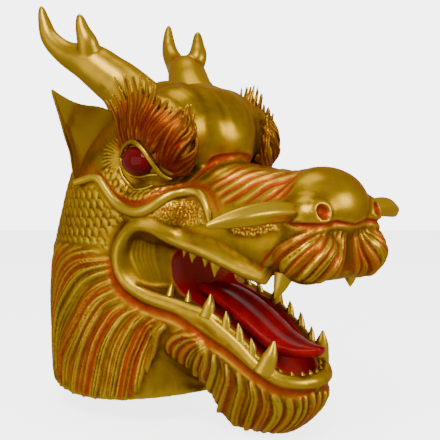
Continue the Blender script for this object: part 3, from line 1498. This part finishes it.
class Graph:
    """The node tree of one material."""

    def __init__(self, name: str) -> None:
        """Starts a material with a bare Principled shader."""
        self.material = bpy.data.materials.new(name)
        self.material.use_nodes = True
        self.tree = self.material.node_tree
        self.shader = self.tree.nodes["Principled BSDF"]

    def node(self, kind: str, settings: dict[str, Any],
             values: Sequence[Any] | dict[str, Any]) -> bpy.types.Node:
        """Adds a node.

        Args:
            kind: Its type.
            settings: Its settings, which are set first.
            values: The values or links of its sockets, in order or by name.

        Returns:
            The node.
        """
        node = self.tree.nodes.new(kind)
        for key, value in settings.items():
            if key == "stops":
                for element, (place, colour) in zip(node.color_ramp.elements, value):
                    element.position, element.color = place, colour
            else:
                setattr(node, key, value)
        pairs = values.items() if isinstance(values, dict) else enumerate(values)
        for key, value in pairs:
            self.feed(node.inputs[key], value)
        return node

    def feed(self, socket: bpy.types.NodeSocket, value: Any) -> None:
        """Links a socket or sets its value."""
        if isinstance(value, Value):
            value = value.socket
        if isinstance(value, bpy.types.NodeSocket):
            self.tree.links.new(value, socket)
        else:
            socket.default_value = value

    def noise(self, scale: float, detail: float = 3.0, roughness: float = 0.55) -> Value:
        """An even noise over the object."""
        place = self.node("ShaderNodeTexCoord", {}, ()).outputs["Object"]
        inputs = {"Vector": place, "Scale": scale, "Detail": detail, "Roughness": roughness}
        return Value(self, self.node("ShaderNodeTexNoise", {}, inputs).outputs["Fac"])

    def blend(self, factor: Value | float, low: Any, high: Any) -> bpy.types.NodeSocket:
        """A colour between two others."""
        node = self.node("ShaderNodeMix", dict(data_type="RGBA"), {})
        for key, value in ((0, factor), (6, low), (7, high)):
            self.feed(node.inputs[key], value)
        return node.outputs[2]

    def painted(self) -> dict[Channel, Value]:
        """The channels of the painted attribute."""
        source = self.node("ShaderNodeAttribute", dict(attribute_name="paint"), ())
        parts = self.node("ShaderNodeSeparateColor", {}, (source.outputs["Color"],))
        found = {channel: Value(self, parts.outputs[channel.value])
                 for channel in (Channel.RED, Channel.MOUTH, Channel.CAVITY)}
        found[Channel.RIDGE] = Value(self, source.outputs["Alpha"])
        return found

    def bump(self, height: Value, strength: float, distance: float) -> None:
        """Roughens the shader's normal."""
        inputs = {"Height": height, "Strength": strength, "Distance": distance}
        node = self.node("ShaderNodeBump", {}, inputs)
        self.feed(self.shader.inputs["Normal"], node.outputs["Normal"])

    def mottle(self, cloud: Value, contrast: float, low: Any, high: Any) -> None:
        """Colours the shader between two colours, in clouds."""
        tone = ((cloud - 0.5) * contrast + 0.5).clamped()
        self.feed(self.shader.inputs["Base Color"], self.blend(tone, low, high))

    def roughen(self, grain: Value, middle: float, range_: float) -> None:
        """Varies the shader's roughness round a middle value."""
        self.feed(self.shader.inputs["Roughness"], (middle + (grain - 0.5) * range_).clamped())

    def fix(self, **numbers: float) -> None:
        """Sets sockets of the shader that are the same all over."""
        for key, value in numbers.items():
            self.shader.inputs[key.replace("_", " ").title().replace("Ior", "IOR")].default_value = value


def colour(red: float, green: float, blue: float) -> Colour:
    """An opaque colour."""
    return (red, green, blue, 1.0)


@dataclass(frozen=True)
class GoldLatex:
    """Pearly gold paint on latex, with red airbrushed over it where the attribute says."""

    name: str
    deep: Colour = colour(0.11, 0.050, 0.001)
    bright: Colour = colour(0.38, 0.212, 0.006)
    light: Colour = colour(0.64, 0.41, 0.030)
    red: Colour = colour(0.17, 0.008, 0.002)
    orange: Colour = colour(0.36, 0.055, 0.006)
    mouth: Colour = colour(0.34, 0.0008, 0.0008)
    metal: float = 0.88
    gloss: float = 0.31

    def build(self) -> bpy.types.Material:
        """Builds the material."""
        graph = Graph(self.name)
        paint = graph.painted()
        cloud, grain, speck = graph.noise(18.0, 4.0), graph.noise(95.0, 3.0), graph.noise(700.0, 2.0)
        cavity, ridge = paint[Channel.CAVITY], paint[Channel.RIDGE]
        tone = ((cloud - 0.5) * 1.5 + 0.58 + (grain - 0.5) * 0.5 - cavity * 0.6).clamped()
        gold = graph.blend(tone, self.deep, self.bright)
        gold = graph.blend((ridge * 0.55).clamped(), gold, self.light)
        sprayed = (paint[Channel.RED] * (0.60 + cloud * 1.0) + cavity * 0.12 - ridge * 0.36).clamped()
        rust = graph.blend((grain * 1.2 - 0.1 + ridge * 0.5).clamped(), self.red, self.orange)
        skin = graph.blend(sprayed, gold, rust)
        inside = paint[Channel.MOUTH]
        graph.feed(graph.shader.inputs["Base Color"], graph.blend(inside, skin, self.mouth))
        metal = (self.metal - sprayed * 0.30 - cavity * 0.1) * (1 - inside)
        graph.feed(graph.shader.inputs["Metallic"], metal.clamped())
        rough = self.gloss + (cloud - 0.5) * 0.20 + cavity * 0.15 + sprayed * 0.06
        graph.feed(graph.shader.inputs["Roughness"], rough.clamped())
        graph.bump(grain * 0.7 + speck * 0.3, 0.16, 0.001)
        graph.fix(specular_ior_level=0.22)
        graph.shader.inputs["Specular Tint"].default_value = colour(0.80, 0.50, 0.10)
        return graph.material


@dataclass(frozen=True)
class WetRed:
    """Glossy deep red of the eyes and the tongue."""

    name: str
    dark: Colour = colour(0.035, 0.0002, 0.0003)
    warm: Colour = colour(0.16, 0.0003, 0.0004)
    rough: float = 0.12
    shine: float = 0.10
    scale: float = 45.0

    def build(self) -> bpy.types.Material:
        """Builds the material."""
        graph = Graph(self.name)
        cloud, grain = graph.noise(self.scale, 3.0), graph.noise(self.scale * 9, 2.0)
        graph.mottle(cloud, 2.2, self.dark, self.warm)
        graph.roughen(grain, self.rough, 0.08)
        graph.bump(grain, 0.05, 0.0006)
        graph.fix(specular_ior_level=self.shine)
        return graph.material


@dataclass(frozen=True)
class RawLatex:
    """The unpainted inside of the mask."""

    name: str
    pale: Colour = colour(0.62, 0.47, 0.27)
    stained: Colour = colour(0.42, 0.29, 0.13)
    rough: float = 0.62

    def build(self) -> bpy.types.Material:
        """Builds the material."""
        graph = Graph(self.name)
        cloud, grain = graph.noise(22.0, 5.0), graph.noise(240.0, 3.0)
        graph.mottle(cloud, 2.4, self.pale, self.stained)
        graph.roughen(grain, self.rough, 0.25)
        graph.bump(grain + cloud, 0.35, 0.0012)
        return graph.material


@dataclass
class Studio:
    """The pale floor, the soft lights and the camera of the photograph."""

    azimuth: float = -47.0
    elevation: float = 3.175
    target: tuple[float, float, float] = (0.0, -0.116, -0.122)
    distance: float = 0.972
    lens: float = 76.4
    floor: float = 0.9
    floor_reach: float = 12.0
    backdrop: float = 4.5
    ambient: float = 0.66

    def camera(self) -> None:
        """Puts the camera where the photograph was taken from."""
        data = bpy.data.cameras.new("camera")
        data.sensor_width = 36.0
        data.lens = self.lens
        camera = bpy.data.objects.new("camera", data)
        turn, lift = math.radians(self.azimuth), math.radians(self.elevation)
        back = Vector((math.sin(turn) * math.cos(lift), -math.cos(turn) * math.cos(lift), math.sin(lift)))
        camera.location = Vector(self.target) + back * self.distance
        camera.rotation_mode = "QUATERNION"
        camera.rotation_quaternion = (-back).to_track_quat("-Z", "Y")
        bpy.context.scene.collection.objects.link(camera)
        bpy.context.scene.camera = camera

    def lamp(self, name: str, place: tuple[float, float, float], size: float, power: float) -> None:
        """Hangs a soft square light that faces the mask.

        Args:
            name: Its name.
            place: Where it hangs.
            size: Its width.
            power: Its power in watts.
        """
        data = bpy.data.lights.new(name, "AREA")
        data.size = size
        data.energy = power
        lamp = bpy.data.objects.new(name, data)
        lamp.location = place
        lamp.rotation_mode = "QUATERNION"
        lamp.rotation_quaternion = (Vector(self.target) - Vector(place)).to_track_quat("-Z", "Y")
        bpy.context.scene.collection.objects.link(lamp)

    def panel(self, name: str, corners: Sequence[Sequence[float]], graph: Graph) -> bpy.types.Object:
        """Sets up a flat panel that the camera sees but that neither lights the mask nor shows in it.

        Args:
            name: Its name.
            corners: Its four corners.
            graph: Its finish.

        Returns:
            The panel.
        """
        mesh = bpy.data.meshes.new(name)
        mesh.from_pydata(np.array(corners).tolist(), [], [(0, 1, 2, 3)])
        mesh.materials.append(graph.material)
        panel = bpy.data.objects.new(name, mesh)
        bpy.context.scene.collection.objects.link(panel)
        panel.visible_glossy = False
        panel.visible_diffuse = False
        return panel

    def stage(self) -> None:
        """Lays the floor under the beard."""
        low = CAD_BOX[0].z - 0.0005
        graph = Graph("pale_floor")
        graph.fix(roughness=0.8, emission_strength=3.4)
        graph.shader.inputs["Emission Color"].default_value = colour(1.0, 1.0, 1.0)
        cloud = graph.noise(3.0, 2.0)
        pale = colour(self.floor, self.floor, self.floor)
        paler = colour(self.floor * 0.99, self.floor * 0.99, self.floor * 0.985)
        graph.feed(graph.shader.inputs["Base Color"], graph.blend(cloud, pale, paler))
        ways = ((-1, -1), (1, -1), (1, 1), (-1, 1))
        corners = [(x * self.floor_reach, y * self.floor_reach, low) for x, y in ways]
        floor = self.panel("floor", corners, graph)

    def wall(self) -> None:
        """Stands a lit white wall behind the mask."""
        turn = math.radians(self.azimuth)
        ahead = np.array((-math.sin(turn), math.cos(turn), 0.0))
        aside = np.array((math.cos(turn), math.sin(turn), 0.0))
        middle = np.array(self.target) + ahead * 3.0
        corners = [middle + aside * across + np.array((0.0, 0.0, up))
                   for across, up in ((-5, -2), (5, -2), (5, 4), (-5, 4))]
        graph = Graph("lit_wall")
        graph.shader.inputs["Emission Color"].default_value = colour(1.0, 1.0, 1.0)
        graph.shader.inputs["Emission Strength"].default_value = self.backdrop
        wall = self.panel("wall", corners, graph)

    def world(self) -> None:
        """Fills the room with even white light."""
        world = bpy.data.worlds.new("room")
        world.use_nodes = True
        background = world.node_tree.nodes["Background"].inputs
        background["Color"].default_value = colour(1.0, 1.0, 1.0)
        background["Strength"].default_value = self.ambient
        bpy.context.scene.world = world

    def build(self) -> None:
        """Builds the studio."""
        self.camera()
        self.stage()
        self.wall()
        self.world()
        self.lamp("key", (-1.1, -0.7, 1.1), size=0.9, power=34.0)
        self.lamp("side", (0.5, -1.6, 0.3), size=0.7, power=14.0)
        self.lamp("fill", (-1.5, 0.2, -0.05), size=1.3, power=9.0)
        self.lamp("top", (0.1, 0.2, 1.5), size=0.9, power=9.0)


def main() -> None:
    """Builds every sub-assembly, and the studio."""
    logging.basicConfig(level=logging.INFO, format="%(name)s: %(message)s")
    gold = GoldLatex("gold_latex").build()
    horn_gold = GoldLatex("horn_gold", bright=colour(0.33, 0.182, 0.005), light=colour(0.48, 0.29, 0.02),
                          gloss=0.33).build()
    tooth_gold = GoldLatex("tooth_gold", bright=colour(0.42, 0.245, 0.004)).build()
    brow_red = GoldLatex("brow_red", red=colour(0.07, 0.002, 0.0008),
                         orange=colour(0.16, 0.013, 0.0015)).build()
    outside = MaskSkin(HeadForms()).build(gold, RawLatex("raw_latex").build())
    Horns().build(horn_gold)
    Ears().build(horn_gold)
    Eyes().build(WetRed("eye_red").build())
    Brows().build(outside, brow_red)
    Whiskers().build(gold)
    Barbels().build(gold)
    Teeth().build(tooth_gold)
    tongue_red = WetRed("tongue_red", dark=colour(0.16, 0.0004, 0.0004), warm=colour(0.33, 0.0006, 0.0006),
                        rough=0.34, shine=0.12, scale=70.0)
    Tongue().build(tongue_red.build())
    Studio().build()


if __name__ == "__main__":
    main()
